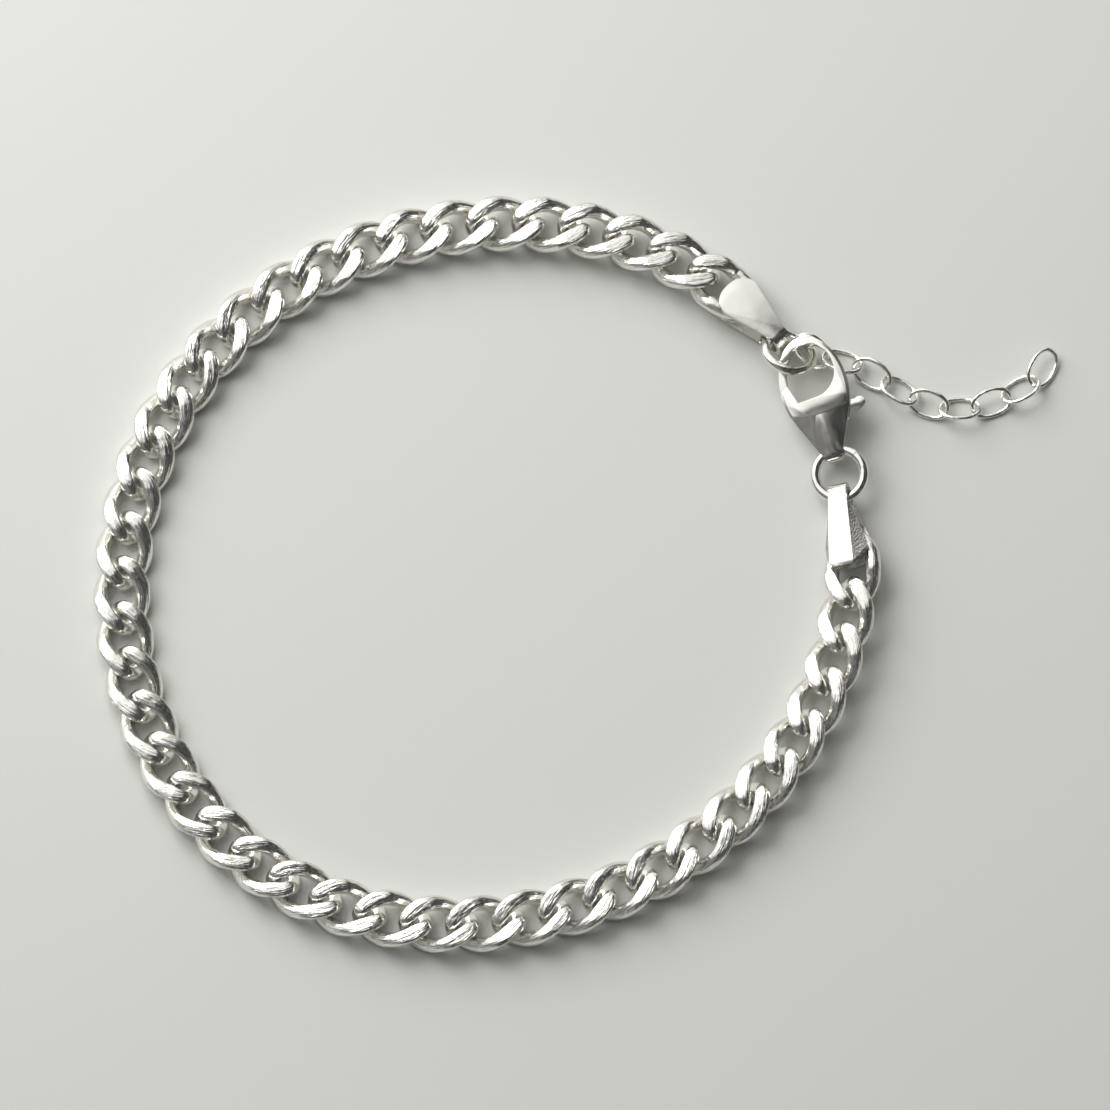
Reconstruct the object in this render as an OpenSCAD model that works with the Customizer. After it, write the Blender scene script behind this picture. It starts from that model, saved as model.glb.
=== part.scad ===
// Curb link bracelet with a lobster clasp and a fine extension chain, lying flat in a loop.
// Millimetres, +Z up. The origin is the middle of the loop, on the surface that the bracelet lies on.

/* [Curb chain] */
// Number of curb links in the loop
curb_count = 43; // [36:1:50]
// Distance from one curb link to the next
curb_pitch = 3.54; // [3.4:0.02:3.7]
// Thickness of the curb links' wire
curb_wire = 1.2; // [1:0.02:1.24]
// Width of the chain across its links
curb_width = 4.42; // [4.3:0.02:4.7]
// Height of the chain between its two ground faces
curb_height = 2; // [1.8:0.05:2.4]
// Twist of each half of a link out of its middle plane, in degrees
curb_twist = 55; // [52:1:58]
// Free play between two curb links that are pulled tight
curb_play = 0.32; // [0.28:0.02:0.38]

/* [End caps] */
// Length of an end cap from its fold to its round end
cap_length = 6.5; // [6:0.05:7]
// Width of the back plate at its widest
cap_width = 3.5; // [3:0.1:4]
// Width of the front plate at its lower rim
rim_width = 3.3; // [3:0.05:3.5]
// Width of the flat strip along the front plate, at its end
tongue_width = 1.5; // [1.4:0.1:2]
// Width of both plates at the fold
cap_neck = 1.4; // [1.2:0.05:1.6]
// Thickness of the plate that the cap is folded from
cap_plate = 0.36; // [0.3:0.02:0.5]
// Clear height inside the fold
fold_height = 1.62; // [1.56:0.02:1.7]
// Distance from the middle of the last link to the cap's round end
cap_setback = 0.35; // [0.1:0.05:0.6]

/* [Jump rings] */
// Thickness of a jump ring's wire
ring_wire = 0.65; // [0.55:0.01:0.7]
// Outer diameter of a jump ring
ring_outer = 4.35; // [4.2:0.05:4.6]
// Lean of the ring that hangs in the clasp's hook, in degrees
hook_ring_lean = 34; // [32:1:36]

/* [Clasp] */
// Length of the claw from the middle of the tail's eye to its crown
claw_length = 9.1; // [8.8:0.05:9.6]
// Width of the claw at its widest
claw_width = 5.24; // [5:0.02:5.5]
// Width of the claw's opening
mouth_width = 3.84; // [3.7:0.02:4]
// Thickness of the claw's face where it meets the tail
claw_depth = 2.04; // [1.9:0.02:2.2]
// Thickness of the claw at its crown
crown_depth = 1.5; // [1.4:0.02:1.6]
// Thickness of the tail at its eye
tail_depth = 1.46; // [1.4:0.02:1.7]
// Width of the tail at its end
tail_width = 1.1; // [1:0.05:1.4]
// Thickness of the lever
lever_thickness = 0.6; // [0.5:0.02:0.7]
// Width of the lever's gate
gate_width = 0.62; // [0.5:0.02:0.7]
// Diameter of the lever's pivot pin
pin_diameter = 0.6; // [0.5:0.02:0.7]
// Swing of the lever from closed to open, in degrees
lever_swing = 12; // [8:1:14]

/* [Extension chain] */
// Thickness of the extension chain's wire
fine_wire = 0.3; // [0.26:0.01:0.34]
// Distance from one extension link to the next
fine_pitch = 2.48; // [2.4:0.02:2.6]
// Width of an extension link
fine_width = 2.3; // [2.2:0.02:2.4]
// Free play between two extension links that are pulled tight
fine_play = 0.24; // [0.2:0.02:0.28]

/* [Fits] */
// Clearance between pieces that hang in each other
loose_fit = 0.1; // [0.08:0.01:0.14]
// Radial clearance between the lever's bore and its pin
pin_fit = 0.05; // [0.03:0.01:0.08]
// Clearance above and below the lever in its slot
slot_fit = 0.08; // [0.05:0.01:0.12]
// Width of the hairline joint in a jump ring
ring_joint = 0.06; // [0.04:0.01:0.1]

/* [Lie on the surface] */
// Roll of the clasp about its length, in degrees
clasp_roll = 9; // [6:1:12]
// Rise of the clasp from its tail to its hook, in degrees
clasp_rise = 3.7; // [3.2:0.1:4]
// Roll of the end cap beside the clasp's tail, in degrees
tail_cap_roll = 16; // [12:1:17]
// Roll of the end cap beside the clasp's hook, in degrees
hook_cap_roll = 9; // [6:1:10]
// Turn of the end cap beside the clasp's tail out of the chain's line, in degrees
tail_cap_turn = 13; // [8:0.5:16]
// Turn of the end cap beside the clasp's hook out of the chain's line, in degrees
hook_cap_turn = -8; // [-12:0.5:0]

/* [Hidden] */

silver = [0.80, 0.80, 0.79];
silver_dark = [0.66, 0.66, 0.66];

// Curb link: half sizes of its centre line
curb_a = (curb_pitch + curb_wire + curb_play) / 2;
curb_b = (curb_width - curb_wire) / 2;
curb_mid = curb_height / 2;
// Fullness of a link's oval, 2 for an ellipse and more for a squarer one
link_full = 2.2;
curb_rings = 16;
curb_sides = 6;

// Number of links over which the chain rises and rolls to meet an end cap
ease_links = 10;

// Gentle bends of the loop: lobes round it, share of its radius, direction of the first lobe
LOBES = 0;
SHARE = 1;
TOWARD = 2;
loop_bends = [[1, 0.011, 32], [2, 0.0334, 36], [3, 0.005, 16], [4, 0.0047, -41]];
// Direction from the loop's middle to its first link
first_link_at = 50.6;

// Clearance between an end cap and the link that can turn in it
turn_fit = 0.24;
// Clearance above and below that link
link_fit = 0.14;

// End cap, in a frame whose origin is the middle of the ring's wire in the fold, +X out of the loop
cap_height = fold_height + 2 * cap_plate;
fold_axis_x = ring_wire / 2 + loose_fit - fold_height / 2;
cap_end_x = fold_axis_x + cap_height / 2 - cap_length;
cap_link_x = cap_end_x - cap_setback;
cap_slot = curb_wire + 2 * link_fit;
cap_slot_x = cap_link_x + curb_a + curb_wire / 2 + turn_fit;
cap_bay = 0.85;
cap_web_x = -ring_wire / 2 - cap_bay;
cap_round = 1.5;
tongue_round = 0.5;
// Thickness of the front plate's lower rim, below its sloping sides
rim_edge = 0.12;
// Power of the plates' round ends, 1 for an ellipse and less for a squarer one
round_power = 0.85;
cap_points = 14;
post_diameter = 0.9;
post_x = cap_link_x + curb_a - curb_wire / 2 - turn_fit - post_diameter / 2;

// Jump rings
ring_r = (ring_outer - ring_wire) / 2;
tail_joint_at = -55;
hook_joint_at = 20;
// Middle of each jump ring in the frame of its end cap, and how far its middle stands above the cap's
tail_ring_off = [1.52, -0.2];
hook_ring_off = [1.22, -0.16];
hook_ring_lift = 0.36;
// Angle in plan from the hook ring's low side to the end cap that hangs on it
low_side_to_cap = 76;

// Clasp, in a frame whose origin is the middle of the ring's wire in the tail's eye, +X to the hook
claw_a = 4;
claw_b = claw_width / 2;
claw_x = claw_length - claw_a;
mouth_b = mouth_width / 2;
crown_band = 0.62;
heel_band = 1.36;
heel_x = 2.92;
mouth_a = (claw_length - crown_band - heel_x - heel_band) / 2;
mouth_x = claw_length - crown_band - mouth_a;
heel_corner = [4.2, 1.5];
stub_inner = [5.7, 1.97];
stub_outer = [4.82, 3.06];
tail_end_x = -0.82;
tail_join_x = 3.18;
claw_points = 72;
// Past the crown, where the clasp's side profile ends
crown_end_x = claw_length + 1;
// The bright raised face of the claw, inset from the edge and bounded by an arc towards the tail
land_inset = 0.2;
land_step = 0.08;
land_arc = [10.78, 0.3];
land_arc_r = 7.83;
// How far the claw's faces fall from the middle to the sides
side_fall = 0.5;
// Lever
pin_at = [3.38, 1.3];
hub_r = 0.7;
gate_r = 4.35;
slot_height = lever_thickness + 2 * slot_fit;
eye_fit = 0.14;
gate_first = 76;
gate_back_fit = 4;
gate_reach = 1.2 * gate_r;
gate_last = -6;
web_r = 1.35;
web_last = 20;
thumb_at = [3.1, -3.05];
thumb_r = 0.43;
thumb_tip = [2.2, -2.35];
thumb_arm = 0.62;
thumb_angle = atan2(thumb_at[1] - pin_at[1], thumb_at[0] - pin_at[0]);
thumb_reach = norm(thumb_at - pin_at);
// Place of the hook ring's middle in the clasp's frame
hook_ring_back = 0.74;
hook_ring_x = claw_length - hook_ring_back;
hook_ring_y = 1.12;
clasp_span = norm([hook_ring_x + ring_r, hook_ring_y]);
clasp_bearing = atan2(hook_ring_y, hook_ring_x + ring_r);

// Heights above the surface at which the rolled pieces just touch it
touch = 0.02;
tail_cap_z = cap_height / 2 * cos(tail_cap_roll) + cap_width / 2 * sin(tail_cap_roll) + touch;
hook_cap_z = cap_height / 2 * cos(hook_cap_roll) + cap_width / 2 * sin(hook_cap_roll) + touch;
hook_ring_z = hook_cap_z + hook_ring_lift;

// Extension chain: half sizes of a link's centre line, and the heading of each link in plan
fine_a = (fine_pitch + fine_wire + fine_play) / 2;
fine_b = (fine_width - fine_wire) / 2;
fine_rings = 14;
fine_sides = 6;
// The link that hangs on the hook ring: its middle from the ring's middle, heading, roll and dip
hang_at = [1.81, 0.32];
hang_height = 0.97;
hang_heading = -41;
hang_roll = 25;
hang_dip = 16;
// The links that lie on the surface: the first one's middle from the ring's, their headings and roll
run_at = [4.12, -0.41];
run_headings = [-16, -32, -32, -19, 2, 20, 30, 60];
run_roll = 30;
run_height = fine_b * sin(run_roll) + fine_wire / 2 + touch;
fine_count = len(run_headings) + 1;

// Small angle on each side over which a curve's direction is taken
nudge = 1;

function unit(v) = v / norm(v);
function turned(p, a) = [p[0] * cos(a) - p[1] * sin(a), p[0] * sin(a) + p[1] * cos(a)];
function heading(v) = atan2(v[1], v[0]);
function soft(x) = (1 - cos(180 * max(0, min(1, x)))) / 2;
function total(list, i = 0) = i == len(list) ? 0 : list[i] + total(list, i + 1);

// The loop in plan: a circle with gentle bends, walked in steps of one pitch
function reach(psi) = 1 + total([for (b = loop_bends) b[SHARE] * cos(b[LOBES] * (psi - b[TOWARD]))]);
function on_loop(r, psi) = r * reach(psi) * [cos(psi), sin(psi)];
function along(r, psi) = unit(on_loop(r, psi + nudge) - on_loop(r, psi - nudge));
function stride(r, psi) = let(first = curb_pitch / r / reach(psi) * 180 / PI)
    first * curb_pitch / norm(on_loop(r, psi + first) - on_loop(r, psi));
function walk(r, psi, n) = n == 0 ? [psi] : concat([psi], walk(r, psi + stride(r, psi), n - 1));
function walk_end(r, psi, n) = n == 0 ? psi : walk_end(r, psi + stride(r, psi), n - 1);

// Middles of the two jump rings for a loop of radius r
function tail_way(r, psi) = heading(along(r, psi)) + tail_cap_turn;
function hook_way(r, psi) = heading(-along(r, psi)) + hook_cap_turn;
function tail_ring_at(r, psi) = on_loop(r, psi) + turned(tail_ring_off - [cap_link_x, 0], tail_way(r, psi));
function hook_ring_at(r, psi) = on_loop(r, psi) + turned(hook_ring_off - [cap_link_x, 0], hook_way(r, psi));
function ring_span(r) = norm(hook_ring_at(r, first_link_at)
    - tail_ring_at(r, walk_end(r, first_link_at, curb_count - 1)));

// The radius at which the clasp just closes the loop
function close_loop(low, high, n) = let(mid = (low + high) / 2)
    n == 0 ? mid : ring_span(mid) > clasp_span ? close_loop(low, mid, n - 1) : close_loop(mid, high, n - 1);
loop_r0 = curb_count * curb_pitch / (2 * PI);
widest_share = 1.4;
halvings = 24;
loop_r = close_loop(loop_r0, widest_share * loop_r0, halvings);
stations = walk(loop_r, first_link_at, curb_count - 1);
last_link_at = stations[curb_count - 1];

// Places of the pieces round the clasp
tail_heading = tail_way(loop_r, last_link_at);
hook_heading = hook_way(loop_r, first_link_at);
tail_ring = tail_ring_at(loop_r, last_link_at);
hook_ring = hook_ring_at(loop_r, first_link_at);
tail_cap = tail_ring - turned(tail_ring_off, tail_heading);
hook_cap = hook_ring - turned(hook_ring_off, hook_heading);
clasp_heading = heading(hook_ring - tail_ring) - clasp_bearing;
clasp_eye = tail_ring + turned([ring_r, 0], clasp_heading);
low_side = hook_heading + 180 - low_side_to_cap;

// Middle of link i of the extension's run on the surface
function half_step(i) = turned([fine_pitch / 2, 0], run_headings[i]);
function run_place(i) = i == 0 ? hook_ring + run_at : run_place(i - 1) + half_step(i - 1) + half_step(i);

// A link's centre line in its own frame: x along the chain, y to the left, z up
function twist_at(t, near, far) = -curb_twist * fuller(cos(t)) * (cos(t) < 0 ? near : far);
function fuller(x) = sign(x) * pow(abs(x), 2 / link_full);
function curb_line(t, near, far) = let(v = curb_b * fuller(sin(t)), phi = twist_at(t, near, far))
    [curb_a * fuller(cos(t)), v * cos(phi), v * sin(phi)];
function fine_line(t) = [fine_a * fuller(cos(t)), fine_b * fuller(sin(t)), 0];

// Points of a wire of radius r round the centre point c that runs along d
function wire_ring(c, d, r, sides) = let(
    out = unit(cross(d, [0, 0, 1])),
    up = cross(out, d))
    [for (s = [0:sides - 1]) let(a = 360 * (s + 0.5) / sides) c + r * (cos(a) * out + sin(a) * up)];
function ground(p) = [p[0], p[1], max(-curb_mid, min(curb_mid, p[2]))];
function curb_points(near, far) = [for (k = [0:curb_rings - 1]) let(
    t = 360 * (k + 0.5) / curb_rings,
    d = unit(curb_line(t + nudge, near, far) - curb_line(t - nudge, near, far)))
    for (p = wire_ring(curb_line(t, near, far), d, curb_wire / 2, curb_sides)) ground(p)];
function fine_points() = [for (k = [0:fine_rings - 1]) let(
    t = 360 * (k + 0.5) / fine_rings,
    d = unit(fine_line(t + nudge) - fine_line(t - nudge)))
    for (p = wire_ring(fine_line(t), d, fine_wire / 2, fine_sides)) p];

// Roll about x, dip the far end about y, turn about z, then move
function placed(p, at, turn, roll, dip = 0) = let(
    q = [p[0], p[1] * cos(roll) - p[2] * sin(roll), p[1] * sin(roll) + p[2] * cos(roll)],
    h = turned([q[0] * cos(dip) + q[2] * sin(dip), q[1]], turn))
    [at[0] + h[0], at[1] + h[1], at[2] + q[2] * cos(dip) - q[0] * sin(dip)];

// Triangles of closed wire loops, one after the other in the list of points
function loop_faces(loops, rings, sides) = [for (l = [0:loops - 1], k = [0:rings - 1], s = [0:sides - 1]) let(
    base = l * rings * sides,
    k2 = (k + 1) % rings,
    s2 = (s + 1) % sides,
    a = base + k * sides + s,
    b = base + k * sides + s2,
    c = base + k2 * sides + s2,
    d = base + k2 * sides + s)
    for (f = [[a, c, d], [a, b, c]]) f];

// How far link i has eased towards the first and the last end cap
function near_first(i) = soft(1 - i / ease_links);
function near_last(i) = soft(1 - (curb_count - 1 - i) / ease_links);
function curb_z(i) = curb_mid + (hook_cap_z - curb_mid) * near_first(i)
    + (tail_cap_z - curb_mid) * near_last(i);
function curb_roll(i) = hook_cap_roll * near_first(i) - tail_cap_roll * near_last(i);

module curb_chain() {
    points = [for (i = [0:curb_count - 1]) let(
        p = on_loop(loop_r, stations[i]),
        at = [p[0], p[1], curb_z(i)],
        turn = heading(along(loop_r, stations[i])),
        near = i == 0 ? 0 : 1,
        far = i == curb_count - 1 ? 0 : 1)
        for (q = curb_points(near, far)) placed(q, at, turn, curb_roll(i))];
    color(silver) polyhedron(points, loop_faces(curb_count, curb_rings, curb_sides));
}

module extension_chain() {
    shape = fine_points();
    hang = concat(hook_ring + hang_at, [hang_height]);
    points = concat([for (q = shape) placed(q, hang, hang_heading, hang_roll, hang_dip)],
        [for (i = [0:fine_count - 2], q = shape) let(side = i % 2 == 0 ? -1 : 1)
            placed(q, concat(run_place(i), [run_height]), run_headings[i], side * run_roll)]);
    color(silver) polyhedron(points, loop_faces(fine_count, fine_rings, fine_sides));
}

// Half outline of a plate that widens evenly from the fold and ends in a round, from fold to end
function plate_side(neck, wide, round) = concat([[fold_axis_x, neck / 2]],
    [for (k = [0:cap_points]) let(a = 90 * k / cap_points)
        [cap_end_x + round * (1 - pow(sin(a), round_power)), wide / 2 * pow(cos(a), round_power)]]);
function plate_outline(neck, wide, round) = let(
    side = plate_side(neck, wide, round),
    n = len(side))
    concat(side, [for (k = [n - 2:-1:0]) [side[k][0], -side[k][1]]]);

// Solid between two outlines of the same number of points at two heights
module lofted(lower, upper, z_low, z_high) {
    n = len(lower);
    points = concat([for (p = lower) [p[0], p[1], z_low]], [for (p = upper) [p[0], p[1], z_high]]);
    walls = [for (k = [0:n - 1]) let(m = (k + 1) % n) for (f = [[k, n + m, m], [k, n + k, n + m]]) f];
    polyhedron(points, concat([[for (k = [0:n - 1]) k]], [[for (k = [n - 1:-1:0]) n + k]], walls));
}

module end_cap() {
    back = plate_outline(cap_neck, cap_width, cap_round);
    rim = plate_outline(cap_neck, rim_width, cap_round);
    tongue = plate_outline(cap_neck, tongue_width, tongue_round);
    big = 2 * cap_length;
    difference() {
        union() {
            translate([0, 0, -cap_height / 2]) linear_extrude(cap_plate) polygon(back);
            lofted(back, rim, -cap_height / 2 + cap_plate, cap_slot / 2 + rim_edge);
            lofted(rim, tongue, cap_slot / 2 + rim_edge, cap_height / 2);
            translate([fold_axis_x, 0, 0]) rotate([90, 0, 0])
                cylinder(h = cap_neck, d = cap_height, center = true, $fn = 48);
        }
        translate([fold_axis_x, 0, 0]) rotate([90, 0, 0])
            cylinder(h = big, d = fold_height, center = true, $fn = 48);
        translate([cap_web_x, -big / 2, -fold_height / 2])
            cube([fold_axis_x - cap_web_x + touch, big, fold_height]);
        translate([cap_slot_x - big, -big / 2, -cap_slot / 2]) cube([big, big, cap_slot]);
    }
    translate([post_x, 0, 0]) cylinder(h = cap_slot + 2 * touch, d = post_diameter, center = true, $fn = 32);
}

module end_cap_tail_side() {
    color(silver) translate([tail_cap[0], tail_cap[1], tail_cap_z])
        rotate([-tail_cap_roll, 0, tail_heading]) end_cap();
}

module end_cap_hook_side() {
    color(silver) translate([hook_cap[0], hook_cap[1], hook_cap_z])
        rotate([180 - hook_cap_roll, 0, hook_heading]) end_cap();
}

// Ring of round wire with a hairline joint at one place
module jump_ring(joint_at) {
    difference() {
        rotate_extrude($fn = 64) translate([ring_r, 0]) circle(d = ring_wire, $fn = 24);
        rotate([0, 0, joint_at]) translate([ring_r - ring_wire, -ring_joint / 2, -ring_wire])
            cube([2 * ring_wire, ring_joint, 2 * ring_wire]);
    }
}

module jump_ring_tail() {
    color(silver) translate([tail_ring[0], tail_ring[1], tail_cap_z])
        rotate([-(tail_cap_roll + clasp_roll) / 2, 0, clasp_heading]) jump_ring(tail_joint_at);
}

module jump_ring_hook() {
    color(silver) translate([hook_ring[0], hook_ring[1], hook_ring_z])
        rotate([0, hook_ring_lean, low_side]) jump_ring(hook_joint_at);
}

// Plan outlines of the clasp
function oval(x, a, b) = [for (k = [0:claw_points - 1]) let(t = 360 * k / claw_points)
    [x + a * cos(t), b * sin(t)]];
function claw_outline(inset) = let(
    a = claw_a - inset,
    b = claw_b - inset,
    last = acos((tail_join_x - claw_x) / a))
    concat([for (k = [0:claw_points]) let(t = last * (2 * k / claw_points - 1))
        [claw_x + a * cos(t), b * sin(t)]],
        [[tail_end_x, tail_width / 2], [tail_end_x, -tail_width / 2]]);
function wedge(r, first, last) = [pin_at, pin_at + r * [cos(first), sin(first)],
    pin_at + r * [cos((first + last) / 2), sin((first + last) / 2)] / cos((first - last) / 2),
    pin_at + r * [cos(last), sin(last)]];

// Flat plate stock of the clasp, thick at the heel and thinner towards the tail and the crown
module clasp_profile(tail_half, heel_half, crown_half) {
    top = [[tail_end_x + tail_half, tail_half], [heel_x, heel_half], [crown_end_x, crown_half]];
    rotate([90, 0, 0]) linear_extrude(2 * claw_width, center = true) {
        polygon(concat(top, [for (k = [2:-1:0]) [top[k][0], -top[k][1]]]));
        translate([tail_end_x + tail_half, 0]) circle(r = tail_half, $fn = 32);
    }
}

// Long prism with the claw's fall from its middle to its sides
module claw_roof() {
    half = claw_depth / 2;
    translate([tail_end_x - claw_width, 0, 0]) rotate([90, 0, 90]) linear_extrude(claw_length + 2 * claw_width)
        polygon([[0, half], [claw_b, half - side_fall], [claw_b, side_fall - half],
            [0, -half], [-claw_b, side_fall - half], [-claw_b, half - side_fall]]);
}

// Everything that is open inside the claw, seen in plan
module claw_opening() {
    polygon(oval(mouth_x, mouth_a, mouth_b));
    polygon([[mouth_x - mouth_a, 0], heel_corner, stub_inner, [mouth_x, mouth_b], [mouth_x, 0]]);
    intersection() {
        translate(pin_at) circle(r = gate_r + loose_fit, $fn = 96);
        polygon([stub_outer, stub_inner, [mouth_x, 0], [claw_length, 0], [claw_length, claw_width]]);
    }
}

// Where a straight line from the thumb tab's tip touches its round, on one side or the other
function thumb_touch(side) = let(
    v = thumb_tip - thumb_at,
    a = heading(v) + side * acos(thumb_r / norm(v)))
    thumb_at + thumb_r * [cos(a), sin(a)];
module thumb_bar(width) {
    translate([0, -width / 2]) square([thumb_reach, width]);
}

// Room that the lever sweeps through, seen in plan
module lever_room() {
    translate(pin_at) circle(r = hub_r + loose_fit, $fn = 48);
    intersection() {
        translate(pin_at) circle(r = gate_r + loose_fit, $fn = 96);
        polygon(wedge(gate_reach, gate_first + gate_back_fit, gate_last - lever_swing));
    }
    polygon(wedge(claw_width, thumb_angle, thumb_angle - lever_swing));
    for (a = [thumb_angle, thumb_angle - lever_swing])
        translate(pin_at) rotate(a) thumb_bar(thumb_arm + 2 * loose_fit);
}

module clasp_frame() {
    translate([clasp_eye[0], clasp_eye[1], tail_cap_z]) rotate([-clasp_roll, -clasp_rise, clasp_heading])
        children();
}

module clasp_body() {
    color(silver) clasp_frame() {
        difference() {
            union() {
                intersection() {
                    linear_extrude(2 * claw_depth, center = true) polygon(claw_outline(0));
                    clasp_profile(tail_depth / 2, claw_depth / 2 - land_step, crown_depth / 2 - land_step);
                    claw_roof();
                }
                intersection() {
                    linear_extrude(2 * claw_depth, center = true) intersection() {
                        polygon(claw_outline(land_inset));
                        translate(land_arc) circle(r = land_arc_r, $fn = 96);
                    }
                    clasp_profile(tail_depth / 2, claw_depth / 2, crown_depth / 2);
                }
            }
            linear_extrude(2 * claw_depth, center = true) claw_opening();
            linear_extrude(slot_height, center = true) lever_room();
            translate([-ring_r, 0, 0]) rotate_extrude($fn = 64)
                translate([ring_r, 0]) circle(d = ring_wire + 2 * eye_fit, $fn = 24);
        }
        translate(pin_at) cylinder(h = slot_height + 2 * touch, d = pin_diameter, center = true, $fn = 32);
    }
}

module clasp_lever() {
    color(silver_dark) clasp_frame() linear_extrude(lever_thickness, center = true) difference() {
        union() {
            translate(pin_at) circle(r = hub_r, $fn = 48);
            intersection() {
                difference() {
                    polygon(oval(claw_x, claw_a, claw_b));
                    polygon(oval(claw_x, claw_a - gate_width, claw_b - gate_width));
                }
                translate(pin_at) circle(r = gate_r, $fn = 96);
                polygon(wedge(gate_reach, gate_first, gate_last));
            }
            intersection() {
                polygon(oval(claw_x, claw_a, claw_b));
                polygon(wedge(web_r, gate_first, web_last));
            }
            translate(pin_at) rotate(thumb_angle) thumb_bar(thumb_arm);
            translate(thumb_at) circle(r = thumb_r, $fn = 32);
            polygon([thumb_tip, thumb_touch(1), thumb_at, thumb_touch(-1)]);
        }
        translate(pin_at) circle(d = pin_diameter + 2 * pin_fit, $fn = 32);
    }
}

curb_chain();
end_cap_tail_side();
end_cap_hook_side();
jump_ring_tail();
jump_ring_hook();
clasp_body();
clasp_lever();
extension_chain();
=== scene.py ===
# %% [markdown]
# A slim curb link bracelet in polished sterling silver lies in a loop on a pale surface.
# The CAD model already holds every piece at its real size and in its real place.
# This script loads it as a fixed frame and gives each piece its finished shape and its metal.

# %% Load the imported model
import math

import bpy
import numpy as np
from mathutils import Matrix, Vector


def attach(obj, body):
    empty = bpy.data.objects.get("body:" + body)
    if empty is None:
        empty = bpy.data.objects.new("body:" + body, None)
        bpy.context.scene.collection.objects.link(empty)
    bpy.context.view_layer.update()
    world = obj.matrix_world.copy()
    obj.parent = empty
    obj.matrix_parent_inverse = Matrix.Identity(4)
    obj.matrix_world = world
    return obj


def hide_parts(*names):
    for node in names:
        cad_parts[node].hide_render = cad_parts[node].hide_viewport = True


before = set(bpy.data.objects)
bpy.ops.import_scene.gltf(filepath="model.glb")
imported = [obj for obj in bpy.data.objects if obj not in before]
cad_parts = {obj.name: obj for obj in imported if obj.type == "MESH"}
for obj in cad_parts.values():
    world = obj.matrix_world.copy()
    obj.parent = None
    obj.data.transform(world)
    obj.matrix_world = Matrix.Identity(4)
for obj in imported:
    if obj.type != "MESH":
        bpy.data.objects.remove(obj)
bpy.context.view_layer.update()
bpy.ops.object.select_all(action="DESELECT")

MM = 0.001
print("nodes:", sorted(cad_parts))


# %% [markdown]
# All the colours are written as sRGB hex values, as a paint chart gives them.
# Blender's shaders work in linear light, so one function turns a hex value into linear numbers.

# %% Colours
def linear(hex_colour):
    """An sRGB hex value as a linear colour with alpha."""
    parts = [int(hex_colour[i:i + 2], 16) / 255 for i in (1, 3, 5)]
    return [c / 12.92 if c <= 0.04045 else ((c + 0.055) / 1.055) ** 2.4 for c in parts] + [1.0]


print("polished silver in linear light:", [round(c, 3) for c in linear("#F3F1EC")])


# %% [markdown]
# Every material is a small node tree, so one helper adds a node, sets it and links its inputs.
# An input that is given a socket is linked, and any other value is typed into the input.
# A cloudy noise and a range that turns one span of values into another come back again and again,
# so each has a short function that names only what changes.

# %% Adding nodes
def add_node(tree, kind, settings=None, inputs=None):
    """A node of that kind in the tree, with its settings and its inputs."""
    made = tree.nodes.new(kind)
    for name, value in (settings or {}).items():
        setattr(made, name, value)
    for name, value in (inputs or {}).items():
        if isinstance(value, bpy.types.NodeSocket):
            tree.links.new(value, made.inputs[name])
        else:
            made.inputs[name].default_value = value
    return made


def noise(tree, place, scale, detail, roughness=0.5):
    """The grey value of a cloudy noise, whose clouds are about one over its scale across."""
    inputs = {"Vector": place, "Scale": scale, "Detail": detail, "Roughness": roughness}
    return add_node(tree, "ShaderNodeTexNoise", None, inputs).outputs["Fac"]


def ranged(tree, value, source, target, curve="LINEAR"):
    """A value that runs through the target span while the given one runs through the source span."""
    inputs = {"Value": value, "From Min": source[0], "From Max": source[1],
              "To Min": target[0], "To Max": target[1]}
    settings = {"interpolation_type": curve}
    return add_node(tree, "ShaderNodeMapRange", settings, inputs).outputs["Result"]


# %% [markdown]
# Sterling silver is 92.5 parts silver, the rest mostly copper, so it is a warm near white.
# It is a metal, so its colour is all in its reflection, and what tells one piece from another
# is how its surface was finished: drawn wire is tumbled until it is smooth but a little wavy,
# cast pieces are buffed, and stamped sheet keeps a soft grain.
# One function builds such a silver from the size and the depth of its waves and of its grain.
# Drawn wire also has fine grooves along its length. They come from two attributes that a link's
# mesh carries, in which a step along the wire counts little and a step round it counts much.
# The depths are bump only: they bend the reflections and leave the shape alone.

# %% Silver
# The roughness comes and goes in soft clouds about this wide.
CLOUD = 2.5 * MM
# Most of a noise's values lie in this span.
NOISE_SPAN = (0.35, 0.65)


def bump(tree, height, depth_mm, below=None):
    """The normal of a surface with that relief, on top of the normal below it."""
    inputs = {"Height": height, "Distance": depth_mm * MM}
    if below is not None:
        inputs["Normal"] = below
    return add_node(tree, "ShaderNodeBump", None, inputs).outputs["Normal"]


def wire_grooves(tree):
    """The height of the grooves along a wire, from the two attributes of its mesh."""
    way = add_node(tree, "ShaderNodeAttribute", {"attribute_name": "wire_way"})
    turn = add_node(tree, "ShaderNodeAttribute", {"attribute_name": "wire_round"})
    inputs = {"Vector": way.outputs["Vector"], "W": turn.outputs["Fac"],
              "Scale": 1.0, "Detail": 4.0, "Roughness": 0.65}
    return add_node(tree, "ShaderNodeTexNoise", {"noise_dimensions": "4D"}, inputs).outputs["Fac"]


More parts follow.
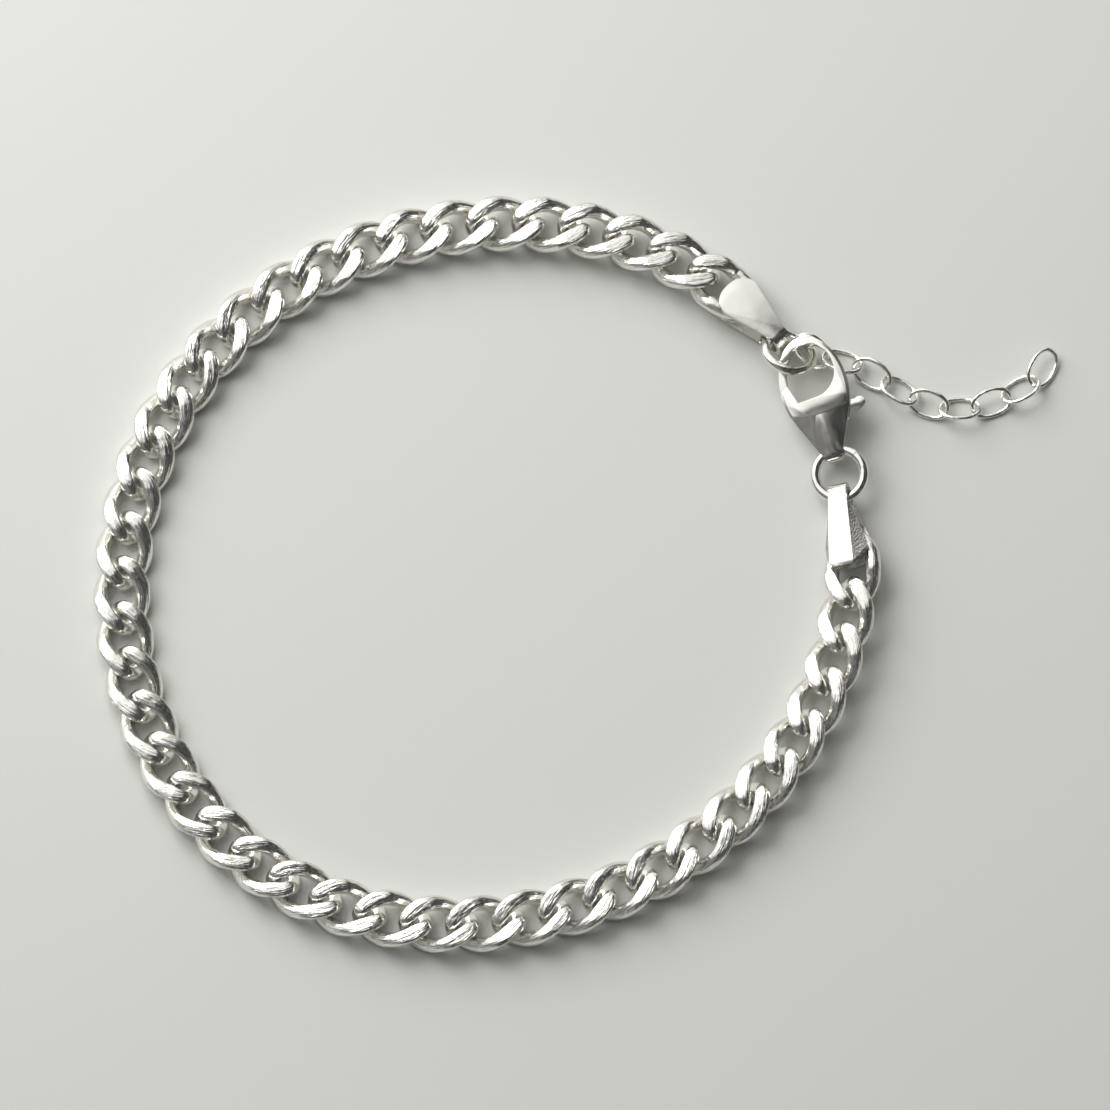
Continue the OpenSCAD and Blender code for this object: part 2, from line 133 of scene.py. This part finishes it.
def silver(name, colour, roughness, wave_mm, grain_mm, groove_mm=0.0):
    """A silver with soft clouds of roughness. Its waves and grain are each a size and a depth."""
    material = bpy.data.materials.new(name)
    material.use_nodes = True
    tree = material.node_tree
    tree.nodes.clear()
    place = add_node(tree, "ShaderNodeTexCoord").outputs["Object"]
    dullness = ranged(tree, noise(tree, place, 1 / CLOUD, detail=3.0), NOISE_SPAN, roughness)
    (wave_size, wave_depth), (grain_size, grain_depth) = wave_mm, grain_mm
    normal = bump(tree, noise(tree, place, 1 / (wave_size * MM), detail=1.0), wave_depth)
    normal = bump(tree, noise(tree, place, 1 / (grain_size * MM), detail=2.0), grain_depth, normal)
    if groove_mm:
        normal = bump(tree, wire_grooves(tree), groove_mm, normal)
    shader = add_node(tree, "ShaderNodeBsdfPrincipled", None,
                      {"Base Color": linear(colour), "Metallic": 1.0,
                       "Roughness": dullness, "Normal": normal})
    add_node(tree, "ShaderNodeOutputMaterial", None, {"Surface": shader.outputs["BSDF"]})
    return material


# Drawn wire, tumbled: a soft mirror that wavers a little from link to link.
drawn_wire = silver("tumbled_silver_wire", "#F3F1EC", roughness=(0.06, 0.15),
                    wave_mm=(1.1, 0.05), grain_mm=(0.12, 0.0016), groove_mm=0.15)
# The cast and buffed clasp: smooth, with slow waves that bend its reflections.
cast_clasp = silver("buffed_cast_silver", "#F2F0EA", roughness=(0.09, 0.17),
                    wave_mm=(2.2, 0.05), grain_mm=(0.1, 0.0012))
# Stamped sheet, folded: softer, with the fine grain that rolling leaves.
stamped_sheet = silver("stamped_silver_sheet", "#F2F0EB", roughness=(0.15, 0.24),
                       wave_mm=(1.8, 0.02), grain_mm=(0.1, 0.003))
# The sloped sides of a stamped cap keep a sand grain that the buff does not reach.
# Their darker base colour is painted shade, for sides that turn away from the light.
grained_shaded_side = silver("grained_silver_sheet_painted_shade", "#CFCCC6", roughness=(0.16, 0.28),
                      wave_mm=(0.8, 0.02), grain_mm=(0.13, 0.04))
print("materials:", [m.name for m in bpy.data.materials])


# %% [markdown]
# Most tools of Blender work on what is selected, so every step first selects its one piece,
# as a careful hand would. Work on a CAD node is done on a copy, and the node stays as it was.
# Each finished piece is named, bakes its place into its mesh, stands for its CAD node and moves
# with that node's body.

# %% Selecting, copying and finishing
# Corners nearer to each other than this are one corner.
MERGE = 0.0005 * MM


def only(piece):
    """Selects this piece alone and makes it active."""
    bpy.ops.object.select_all(action="DESELECT")
    piece.select_set(True)
    bpy.context.view_layer.objects.active = piece


def own_copy(source):
    """A copy of an object with a mesh of its own, which hangs on nothing."""
    copy = source.copy()
    copy.data = source.data.copy()
    copy.parent = None
    bpy.context.scene.collection.objects.link(copy)
    return copy


def edit_merged(piece):
    """Opens the whole of a piece in Edit Mode and merges the corners that meet."""
    only(piece)
    bpy.ops.object.mode_set(mode="EDIT")
    bpy.ops.mesh.select_all(action="SELECT")
    bpy.ops.mesh.remove_doubles(threshold=MERGE)


def corner_points(piece):
    """The corners of a piece's mesh, one row for each."""
    return np.array([corner.co for corner in piece.data.vertices], float)


def cover(piece, material):
    """Makes the whole piece of one material."""
    piece.data.materials.clear()
    piece.data.materials.append(material)


def finish_piece(piece, name, body, node):
    """Names a finished piece, bakes its place into its mesh, and lets it stand for its CAD node."""
    only(piece)
    bpy.ops.object.transform_apply(location=True, rotation=True, scale=True)
    piece.name = name
    piece.data.name = name
    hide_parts(node)
    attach(piece, body)
    print(name, "faces", len(piece.data.polygons), "stands for", node)


# %% [markdown]
# A CAD chain is one mesh of separate links, and each link's own shape says where it lies.
# A copy of it is merged and split into loose parts, and for each part we find the middle,
# the long axis and the normal, which is all that a link's place needs. A flat ring is longest,
# middling and thinnest along the three main axes of its cloud of points.

# %% Where each link of a chain lies
def cad_links(node):
    """The corner points of each loose solid of a CAD node, one array for each solid."""
    edit_merged(own_copy(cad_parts[node]))
    bpy.ops.mesh.separate(type="LOOSE")
    bpy.ops.object.mode_set(mode="OBJECT")
    parts = list(bpy.context.selected_objects)
    corners = [corner_points(part) for part in parts]
    for part in parts:
        bpy.data.objects.remove(part)
    return corners


def main_axes(points):
    """The directions in which a cloud of points is longest, middling and thinnest."""
    spread = points - points.mean(0)
    thinnest, middling, longest = np.linalg.eigh(spread.T @ spread)[1].T
    return longest, middling, thinnest


def upward(normal):
    """The normal or its opposite, whichever points up."""
    return -normal if normal[2] < 0 else normal


def place_matrix(middle, along, normal):
    """The matrix that puts a piece there, with its x along the chain and its z near up."""
    up = upward(normal)
    across = np.cross(up, along)
    turn = Matrix([[along[r], across[r], up[r]] for r in range(3)]).to_4x4()
    return Matrix.Translation(Vector(middle)) @ turn


curb_parts = cad_links("curb_chain")
fine_parts = cad_links("extension_chain")
print("curb links:", len(curb_parts), "extension links:", len(fine_parts))

# %% [markdown]
# The curb links are sorted round the loop, starting at the end cap on the hook side.
# The two end links aren't twisted where they enter an end cap, so their roll is read from that
# flat half alone.

# %% Places of the curb links
# The first link lies a little past this angle, on the loop's upper right.
FIRST_AT = math.radians(45)
# An end link is flat beyond this distance from its middle.
FLAT_HALF_FROM = 1.0 * MM


def round_loop(points):
    """Angle of a link round the loop, counted from just before the first one."""
    middle = points.mean(0)
    return (math.atan2(middle[1], middle[0]) - FIRST_AT) % (2 * math.pi)


def flat_half_normal(spread, along, side):
    """The normal of the half of an end link that lies to that side along the chain."""
    half = spread[spread @ along * side > FLAT_HALF_FROM]
    half = half - half.mean(0)
    half = half - np.outer(half @ along, along)
    return np.cross(along, main_axes(half)[0])


def curb_place(points, flat_side=0):
    """The place of a curb link. An end link's flat half lies backwards, -1, or forwards, 1."""
    middle = points.mean(0)
    along, _, normal = main_axes(points)
    forwards = np.array([-middle[1], middle[0], 0.0])
    if along @ forwards < 0:
        along = -along
    if flat_side:
        normal = flat_half_normal(points - middle, along, flat_side)
    return place_matrix(middle, along, normal)


curb_parts.sort(key=round_loop)
curb_places = [curb_place(points) for points in curb_parts]
curb_places[0] = curb_place(curb_parts[0], flat_side=-1)
curb_places[-1] = curb_place(curb_parts[-1], flat_side=1)
print("first link at", [round(c / MM, 2) for c in curb_places[0].translation], "mm")

# %% [markdown]
# A curb link starts as a ring of wire bent to an oval. Both its halves are then twisted the same
# way, so that the links lie over each other like a rope, and last the whole chain is rolled flatter.
# By hand that is a circle, a Simple Deform twist and a round bevel along it, and the bevel keeps the
# wire round everywhere.
# Two attributes record where each point lies along and round its wire. Both are written as a
# point on a circle, along as x and y and round as z and a fourth number, so the noise has no seam.

# %% A link of wire
# A groove is about 3 mm long and 0.45 mm wide, which is as coarse as it needs to be to show.
GROOVES_ALONG = 1 / (3.0 * MM)
GROOVES_ACROSS = 1 / (0.45 * MM)
# How much squarer than an ellipse a link is, where 2 is an ellipse.
FULLNESS = 2.2
# Steps of the round bevel, which give the wire 16 sides.
BEVEL_STEPS = 6


def fuller(x):
    """Moves a cosine or sine outwards, so that an ellipse becomes a little squarer."""
    return math.copysign(abs(x) ** (2 / FULLNESS), x)


def oval_line(name, half_length, half_width, points):
    """A flat closed line of edges in the shape of a link."""
    bpy.ops.object.select_all(action="DESELECT")
    bpy.ops.mesh.primitive_circle_add(vertices=points, radius=1.0)
    link = bpy.context.object
    link.name = name
    for k, corner in enumerate(link.data.vertices):
        angle = 2 * math.pi * k / points
        corner.co = (half_length * fuller(math.cos(angle)), half_width * fuller(math.sin(angle)), 0)
    return link


def twist_line(link, twist, limits):
    """Twists a line about its length, between limits that run from 0 at one end to 1."""
    bpy.ops.object.modifier_add(type="SIMPLE_DEFORM")
    bend = link.modifiers[-1]
    bend.deform_method = "TWIST"
    bend.deform_axis = "X"
    bend.limits = limits
    bend.angle = twist * (limits[1] - limits[0])
    bpy.ops.object.modifier_apply(modifier=bend.name)


def note_grooves(link, points, along, across):
    """Writes the attributes that say where each point lies along and round its wire."""
    sides = len(link.data.vertices) // points
    link.data.attributes.new("wire_way", "FLOAT_VECTOR", "POINT")
    link.data.attributes.new("wire_round", "FLOAT", "POINT")
    way, turn = (link.data.attributes[name].data for name in ("wire_way", "wire_round"))
    for n in range(len(link.data.vertices)):
        a = 2 * math.pi * (n // sides) / points
        b = 2 * math.pi * (n % sides) / sides
        way[n].vector = (along * math.cos(a), along * math.sin(a), across * math.cos(b))
        turn[n].value = across * math.sin(b)
    print(link.name, "has", sides, "sides round its wire")


def wire_link(name, half_length, half_width, wire_radius, points, twist=0.0, limits=(0.0, 1.0)):
    """A closed oval of round wire, twisted about its length between the two limits."""
    link = oval_line(name, half_length, half_width, points)
    if twist:
        twist_line(link, twist, limits)
    bpy.ops.object.convert(target="CURVE")
    link.data.bevel_depth = wire_radius
    link.data.bevel_resolution = BEVEL_STEPS
    bpy.ops.object.convert(target="MESH")
    mean_radius = (half_length + half_width) / 2
    note_grooves(link, points, GROOVES_ALONG * mean_radius, GROOVES_ACROSS * wire_radius)
    edit_merged(link)
    bpy.ops.mesh.normals_make_consistent(inside=False)
    bpy.ops.object.mode_set(mode="OBJECT")
    bpy.ops.object.shade_smooth()
    cover(link, drawn_wire)
    return link


# %% [markdown]
# The rolls leave each high strand with a nearly flat top but no sharp rim, so the height of every
# point is eased in towards a limit: the higher a point is, the more it is pressed. The limit
# changes a little across the chain. Where the rolls pressed harder along its middle the tops lean
# inwards, and at the loop's left and lower right they lean outwards.
# The first and last links are twisted in one half only, since the other lies flat in its cap.

# %% Curb links
WIRE_RADIUS = 0.59 * MM
HALF_LENGTH = 2.53 * MM
HALF_WIDTH = 1.61 * MM
LINK_POINTS = 56
# Turn of a whole link from one end to the other.
TWIST = math.radians(-110)
# The height from which the rolls press, the most that is left above it along the chain's middle,
# and how much that changes with the square of the distance from the middle.
INWARDS = {"start": 0.70 * MM, "room": 0.245 * MM, "lean": 0.05 / MM}
OUTWARDS = {"start": 0.72 * MM, "room": 0.355 * MM, "lean": -0.055 / MM}


def pressed(height, aside, start, room, lean):
    """A height after rolling. Past the start it nears a limit, which the lean changes to the sides."""
    above = abs(height) - start
    if above <= 0:
        return height
    share = 1 - math.exp(-above / room)
    return math.copysign(start + (room + lean * aside ** 2) * share, height)


def curb_link(name, rolls, limits=(0.0, 1.0)):
    """A curb link, twisted between the two limits and pressed between two rolls."""
    link = wire_link(name, HALF_LENGTH, HALF_WIDTH, WIRE_RADIUS, LINK_POINTS, TWIST, limits)
    before = max(corner.co.z for corner in link.data.vertices)
    for corner in link.data.vertices:
        corner.co.z = pressed(corner.co.z, corner.co.y, **rolls)
    after = max(corner.co.z for corner in link.data.vertices)
    print(name, "half height before", round(before / MM, 3), "after", round(after / MM, 3), "mm")
    return link


middle_link = curb_link("curb_link", INWARDS)
side_link = curb_link("side_curb_link", OUTWARDS)
first_link = curb_link("first_curb_link", INWARDS, limits=(0.5, 1.0))
last_link = curb_link("last_curb_link", OUTWARDS, limits=(0.0, 0.5))


# %% [markdown]
# A link is modelled once and copied to each place, every copy with a mesh of its own.
# Each copy's grooves are shifted in their noise, so that no two links look the same.
# The copies are joined into one piece, because the chain is one node in the CAD model too.

# %% Lay out the curb chain
# Any shift will do that is well past the width of a groove.
GROOVE_SHIFT = 17.3
LEFT_OF = -21 * MM
RIGHT_OF = 14 * MM


def laid_out(patterns, places):
    """One piece of copies of the patterns, one at each place. The patterns are used up."""
    copies = []
    for n, (pattern, place) in enumerate(zip(patterns, places)):
        copy = own_copy(pattern)
        copy.data.transform(place)
        for value in copy.data.attributes["wire_round"].data:
            value.value += GROOVE_SHIFT * n
        copies.append(copy)
    for pattern in set(patterns):
        bpy.data.objects.remove(pattern)
    only(copies[0])
    for copy in copies:
        copy.select_set(True)
    bpy.ops.object.join()
    return copies[0]


def at_the_side(place):
    """Whether a link lies at the loop's left or at its lower right."""
    x, y = place.translation.xy
    return x < LEFT_OF or (x > RIGHT_OF and y < 0)


patterns = [side_link if at_the_side(place) else middle_link for place in curb_places]
patterns[0], patterns[-1] = first_link, last_link
print("links that lean outwards:", patterns.count(side_link) + patterns.count(last_link))
finish_piece(laid_out(patterns, curb_places), "curb_chain_links", "bracelet", "curb_chain")

# %% [markdown]
# The extension chain is made of plain oval links of fine wire, closed with solder and tumbled.
# Each lies tipped on its neighbours, and its CAD solid gives its plane and its long axis.

# %% Lay out the extension chain
FINE_RADIUS = 0.165 * MM
FINE_HALF_LENGTH = 1.51 * MM
FINE_HALF_WIDTH = 1.0 * MM
FINE_POINTS = 48


def fine_place(points):
    """The place of a link of the extension chain."""
    along, _, normal = main_axes(points)
    return place_matrix(points.mean(0), along, normal)


fine_places = [fine_place(points) for points in fine_parts]
fine_link = wire_link("fine_link", FINE_HALF_LENGTH, FINE_HALF_WIDTH, FINE_RADIUS, FINE_POINTS)
extension = laid_out([fine_link] * len(fine_places), fine_places)
finish_piece(extension, "extension_chain_links", "bracelet", "extension_chain")


# %% [markdown]
# A jump ring is one turn of round wire, cut from a coil and closed until its ends meet in a hairline.
# A torus gives the ring, and a thin box subtracted from it gives the joint. The shading is smooth
# over the torus's shallow angles and stays sharp at the cut.
# The CAD ring's points say where its middle and plane are, and where round the ring its joint lies:
# they stand in even steps round the ring, but for one narrow step across the joint.

# %% Jump rings
RING_RADIUS = 1.9 * MM
RING_WIRE_RADIUS = 0.375 * MM
RING_STEPS = 96
RING_SIDES = 24
JOINT = 0.05 * MM
CAD_JOINT = 0.06 * MM
SMOOTH_ANGLE = math.radians(35)


def circle_middle(points, along, across):
    """The middle of the circle that best fits points in the plane of two directions."""
    start = points.mean(0)
    spread = points - start
    terms = np.column_stack([spread @ along, spread @ across, np.ones(len(spread))])
    solved = np.linalg.lstsq(terms, (spread ** 2).sum(1), rcond=None)[0]
    return start + solved[0] / 2 * along + solved[1] / 2 * across


def joint_angle(spread, along, across):
    """Where the joint of a ring lies round it, from the steps between its points."""
    angles = np.unique(np.arctan2(spread @ across, spread @ along).round(4))
    steps = np.diff(np.append(angles, angles[0] + 2 * math.pi))
    joint = np.argmin(np.abs(steps - CAD_JOINT / RING_RADIUS))
    return angles[joint] + steps[joint] / 2


def cut_ring(joint_at):
    """A flat ring of round wire about the origin, cut through at that angle."""
    bpy.ops.object.select_all(action="DESELECT")
    bpy.ops.mesh.primitive_torus_add(major_radius=RING_RADIUS, minor_radius=RING_WIRE_RADIUS,
                                     major_segments=RING_STEPS, minor_segments=RING_SIDES)
    ring = bpy.context.object
    bpy.ops.mesh.primitive_cube_add(size=1.0)
    cutter = bpy.context.object
    cutter.scale = (4 * RING_WIRE_RADIUS, JOINT, 4 * RING_WIRE_RADIUS)
    cutter.location = (RING_RADIUS * math.cos(joint_at), RING_RADIUS * math.sin(joint_at), 0)
    cutter.rotation_euler = (0, 0, joint_at)
    only(ring)
    bpy.ops.object.modifier_add(type="BOOLEAN")
    cut = ring.modifiers[-1]
    cut.operation = "DIFFERENCE"
    cut.object = cutter
    bpy.ops.object.modifier_apply(modifier=cut.name)
    bpy.data.objects.remove(cutter)
    bpy.ops.object.shade_smooth_by_angle(angle=SMOOTH_ANGLE)
    return ring


def jump_ring(node, name):
    """A smooth ring with its joint, in the place of the CAD ring."""
    points = corner_points(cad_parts[node])
    along, middling, normal = main_axes(np.unique(points.round(7), axis=0))
    middle = circle_middle(points, along, middling)
    joint_at = joint_angle(points - middle, along, np.cross(upward(normal), along))
    ring = cut_ring(joint_at)
    cover(ring, drawn_wire)
    ring.data.transform(place_matrix(middle, along, normal))
    print(name, "middle", [round(c / MM, 2) for c in middle], "joint at", round(math.degrees(joint_at)))
    finish_piece(ring, name, "bracelet", node)


jump_ring("jump_ring_tail", "tail_jump_ring")
jump_ring("jump_ring_hook", "hook_jump_ring")


# %% [markdown]
# The end caps and the clasp have their right shape in CAD already, but every edge there is knife
# sharp, and real silver is tumbled until each edge is a soft bright line.
# A copy of the CAD mesh is merged, its flat faces are joined, and a Bevel modifier rounds its edges.

# %% Clean copies of the sharp pieces
# Neighbouring faces that turn by less than FLAT_WITHIN are joined into one, and edges that turn
# by more than EDGE_FROM are rounded, in EDGE_STEPS steps.
FLAT_WITHIN = math.radians(0.5)
EDGE_FROM = math.radians(30)
EDGE_STEPS = 3


def clean_copy(node):
    """A merged copy of a CAD node's mesh, with its flat faces joined."""
    piece = own_copy(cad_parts[node])
    edit_merged(piece)
    bpy.ops.mesh.dissolve_limited(angle_limit=FLAT_WITHIN)
    bpy.ops.object.mode_set(mode="OBJECT")
    print(node, "has", len(piece.data.polygons), "faces once its flat ones are joined")
    return piece


def soften(piece, edge_width, material, edge_from=EDGE_FROM):
    """Rounds the edges of a piece that turn by more than an angle, and gives it its metal."""
    only(piece)
    bpy.ops.object.modifier_add(type="BEVEL")
    edge = piece.modifiers[-1]
    edge.width = edge_width
    edge.segments = EDGE_STEPS
    edge.limit_method = "ANGLE"
    edge.angle_limit = edge_from
    bpy.ops.object.modifier_apply(modifier=edge.name)
    cover(piece, material)
    bpy.ops.object.shade_smooth_by_angle(angle=SMOOTH_ANGLE)


tail_cap = clean_copy("end_cap_tail_side")
hook_cap = clean_copy("end_cap_hook_side")
claw = clean_copy("clasp_body")
lever = clean_copy("clasp_lever")


# %% [markdown]
# The end caps are stamped from sheet and folded over the jump ring, with a post through the last
# link. The cap beside the clasp's tail lies rolled to the left, with its front plate up. There the
# flat strip of the plate reaches almost to the left edge, and the right side slopes away in one
# broad facet. The strip's left corners are moved out for that, its right corners in and the right
# rim down a little, and the round end of the plate is made squarer on the left.

# %% Shape of the tail cap
# How many times as far from the middle the strip's corners lie, at its wide end.
STRIP_LEFT = 2.0
STRIP_RIGHT = 0.6
RIM_DROP = 0.09 * MM
# The round end starts this far from the cap's middle, and is half of a squarish oval.
ROUND_FROM = 0.75 * MM
ROUND_LENGTH = 1.29 * MM
ROUND_WIDTH = 1.64 * MM
SQUARENESS = 4
# Which corners are meant, by their height and by their distance to the side and from the post.
SAME_HEIGHT = 0.01 * MM
RIM_HEIGHT = 0.86 * MM
RIM_SPREAD = 0.03 * MM
PLATE_ABOVE = 0.7 * MM
ASIDE = 0.2 * MM
POST_AT = 1.14 * MM
POST_CLEAR = 0.6 * MM


def cap_axes(cap):
    """The directions along a cap's plates towards its round end, to its right, and up."""
    back = max(cap.data.polygons, key=lambda face: face.area).normal
    up = upward(np.array(back))
    along = main_axes(corner_points(cap))[0]
    along = along - up * (along @ up)
    along = along / np.linalg.norm(along) * math.copysign(1, -along[1])
    right = np.cross(along, up)
    return along, right * math.copysign(1, right[0]), up


def lean_sides(cap):
    """Widens the flat strip of a cap to its left, and deepens the facet on its right."""
    along, right, up = cap_axes(cap)
    points = corner_points(cap)
    spread = points - points.mean(0)
    run, wide, high = spread @ along, spread @ right, spread @ up
    high = high - (high.max() + high.min()) / 2
    strip = high > high.max() - SAME_HEIGHT
    rim = (np.abs(high - RIM_HEIGHT) < RIM_SPREAD) & (wide > ASIDE)
    left_end = (high > PLATE_ABOVE) & ~strip & (wide < -ASIDE) & (run > ROUND_FROM)
    left_end &= np.hypot(run - POST_AT, wide) > POST_CLEAR

    narrow_at = run[strip].min()
    wide_at = run[strip][np.argmax(np.abs(wide[strip]))]
    share = np.clip((run - narrow_at) / (wide_at - narrow_at), 0.0, 1.0)
    wider = np.where(wide < 0, STRIP_LEFT, STRIP_RIGHT)
    gone = np.clip((run - ROUND_FROM) / ROUND_LENGTH, 0.0, 0.99)
    outline = ROUND_WIDTH * (1 - gone ** SQUARENESS) ** (1 / SQUARENESS)
    to_right = np.where(strip, wide * (wider - 1) * share, 0.0)
    to_right -= np.where(left_end, wide + outline, 0.0)
    down = np.where(rim, RIM_DROP, 0.0)
    for n, corner in enumerate(cap.data.vertices):
        corner.co += Vector(right * to_right[n] - up * down[n])
    print(cap.name, "strip, rim and end corners", strip.sum(), rim.sum(), left_end.sum())


lean_sides(tail_cap)

# %% [markdown]
# The cap on the hook side shows its bare back plate and needs no such change. Both caps get soft
# edges, and the faces that slope away from their two flat plates get the grained metal, whose darker
# colour is painted shade.

# %% Finish of the end caps
CAP_EDGE = 0.06 * MM
# The tail cap's broad facet meets its strip in a shallow edge, which is rounded too.
SHALLOW_EDGES = math.radians(18)
# The cosine of 14 degrees: a face that turns further from the plates is one of the sides.
PLATE_FACING = 0.97


def grain_and_shade_sides(cap):
    """Gives the grained metal, whose darker colour is painted shade, to every face of a cap that slopes
    away from its two flat plates.
    """
    cap.data.materials.append(grained_shaded_side)
    areas = {}
    for face in cap.data.polygons:
        way = tuple(round(c, 1) for c in face.normal)
        areas[way] = areas.get(way, 0.0) + face.area
    plate = Vector(max(areas, key=areas.get)).normalized()
    for face in cap.data.polygons:
        if abs(face.normal.dot(plate)) < PLATE_FACING:
            face.material_index = 1
    print(cap.name, "plates face", [round(c, 2) for c in plate])


# The sloped sides get grain, and a darker colour that is painted shade.
soften(tail_cap, CAP_EDGE, stamped_sheet, edge_from=SHALLOW_EDGES)
grain_and_shade_sides(tail_cap)
finish_piece(tail_cap, "tail_end_cap", "bracelet", "end_cap_tail_side")
soften(hook_cap, CAP_EDGE, stamped_sheet)
grain_and_shade_sides(hook_cap)
finish_piece(hook_cap, "hook_end_cap", "bracelet", "end_cap_hook_side")

# %% [markdown]
# The clasp is a cast claw with a spring lever that turns on a pin through the claw.
# The lever is the only piece that moves without the chain changing shape, so it rides on its own
# body. The claw's cast edges are a little rounder than the stamped edges of the caps.

# %% Clasp
CLAW_EDGE = 0.07 * MM
LEVER_EDGE = 0.06 * MM

soften(claw, CLAW_EDGE, cast_clasp)
finish_piece(claw, "clasp_claw", "bracelet", "clasp_body")
soften(lever, LEVER_EDGE, cast_clasp)
finish_piece(lever, "clasp_thumb_lever", "lever", "clasp_lever")

# %% [markdown]
# The bracelet lies on a plain pale surface. A matt floor of the same tone takes the soft shadows.
# It is a few metres wide, so that its edge stays out of the picture.

# %% Floor
FLOOR_SIZE = 6.0

bpy.ops.object.select_all(action="DESELECT")
bpy.ops.mesh.primitive_plane_add(size=FLOOR_SIZE, location=(0, 0, 0))
floor = bpy.context.object
floor.name = "studio_floor"
# Matt card, a warm pale grey.
floor_paint = bpy.data.materials.new("matt_pale_card")
floor_paint.use_nodes = True
card = floor_paint.node_tree.nodes["Principled BSDF"]
card.inputs["Base Color"].default_value = linear("#DEDFDA")
card.inputs["Roughness"].default_value = 0.85
cover(floor, floor_paint)
print("floor is", floor.name, "and", FLOOR_SIZE, "m wide")

# %% [markdown]
# One square soft box stands up to the left behind the bracelet. It is so near that the floor
# grows darker to the right and to the front, and the shadows fall that way with soft edges.

# %% Soft box
KEY_PLACE = Vector((-145, 185, 195)) * MM
KEY_SIZE = 240 * MM
KEY_WATTS = 0.78

bpy.ops.object.light_add(type="AREA", location=KEY_PLACE)
key_light = bpy.context.object
key_light.name = "key_soft_box"
key_light.data.shape = "SQUARE"
key_light.data.size = KEY_SIZE
key_light.data.energy = KEY_WATTS
# A lamp shines along its own -Z, so its Z points away from the bracelet.
key_light.rotation_euler = KEY_PLACE.to_track_quat("Z", "Y").to_euler()
print("soft box", round(KEY_PLACE.length, 2), "m from the bracelet")

# %% [markdown]
# Polished metal shows its surroundings, so the room matters as much as the lamp. A large window
# up to the left makes the bright faces, and the dim rest of the room makes the dark lines that give
# the wire its form. The world's shader works all of it out from the direction that a ray goes:
# near the window's middle it is bright, far from it dim, with a fairly sharp edge between.

# %% Room
WINDOW_AT = Vector((-0.42, 0.75, 0.51)).normalized()

room = bpy.data.worlds.new("soft_studio")
bpy.context.scene.world = room
room.use_nodes = True
sky = room.node_tree
way = add_node(sky, "ShaderNodeTexCoord").outputs["Generated"]


def calculated(operation, a, b):
    """The sum or product of two values of the room's shader."""
    return add_node(sky, "ShaderNodeMath", {"operation": operation}, {0: a, 1: b}).outputs["Value"]


# The window's edge is uneven, and straight up lies just outside it.
facing = add_node(sky, "ShaderNodeVectorMath", {"operation": "DOT_PRODUCT"}, {0: way, 1: WINDOW_AT})
bumps = noise(sky, way, scale=3.2, detail=2.0, roughness=0.55)
uneven = ranged(sky, bumps, (0.3, 0.7), (-0.03, 0.03))
edge = calculated("ADD", facing.outputs["Value"], uneven)
window = ranged(sky, edge, (0.56, 0.665), (0.04, 1.0), "SMOOTHSTEP")
# The window itself is not even either, since trees and sky stand behind it.
patches = noise(sky, way, scale=6.5, detail=2.0, roughness=0.6)
panes = ranged(sky, patches, NOISE_SPAN, (0.88, 1.08))
# Furniture shows as fainter lights in the dark side.
furniture = ranged(sky, patches, (0.5, 0.66), (0.0, 0.2), "SMOOTHSTEP")
# The wall on the left is pale, and takes some of the window's light.
left = add_node(sky, "ShaderNodeSeparateXYZ", None, {"Vector": way}).outputs["X"]
wall = ranged(sky, left, (0.0, -0.28), (0.0, 0.15), "SMOOTHSTEP")

background = sky.nodes["Background"]
background.inputs["Color"].default_value = linear("#FBFBF8")
brightness = calculated("ADD", calculated("MULTIPLY", window, panes), calculated("ADD", wall, furniture))
sky.links.new(brightness, background.inputs["Strength"])
bpy.context.scene.view_settings.view_transform = "Standard"
print("room", room.name, "has", len(sky.nodes), "nodes")

# %% [markdown]
# The photograph looks almost straight down, from 77.5 degrees above the surface, with a long lens.
# At 840 mm away a millimetre of the loop covers 13.1 pixels of the photograph's 1110.

# %% Camera
ELEVATION = math.radians(77.5)
DISTANCE = 840 * MM
SENSOR_MM = 36.0
PICTURE_PIXELS = 1110
PIXELS_PER_MM = 13.1
# What lies in the middle of the picture, measured from the middle of the loop.
LOOK_AT = Vector((5.5, 1.4, 1.0)) * MM
NEAR_CLIP = 10 * MM

picture_width = PICTURE_PIXELS / PIXELS_PER_MM * MM
outwards = Vector((0, -math.cos(ELEVATION), math.sin(ELEVATION)))
bpy.ops.object.camera_add(location=LOOK_AT + DISTANCE * outwards)
camera = bpy.context.object
camera.name = "photo_camera"
camera.rotation_euler = (math.pi / 2 - ELEVATION, 0, 0)
camera.data.sensor_width = SENSOR_MM
camera.data.lens = SENSOR_MM * DISTANCE / picture_width
camera.data.clip_start = NEAR_CLIP
bpy.context.scene.camera = camera
print("lens", round(camera.data.lens, 1), "mm")
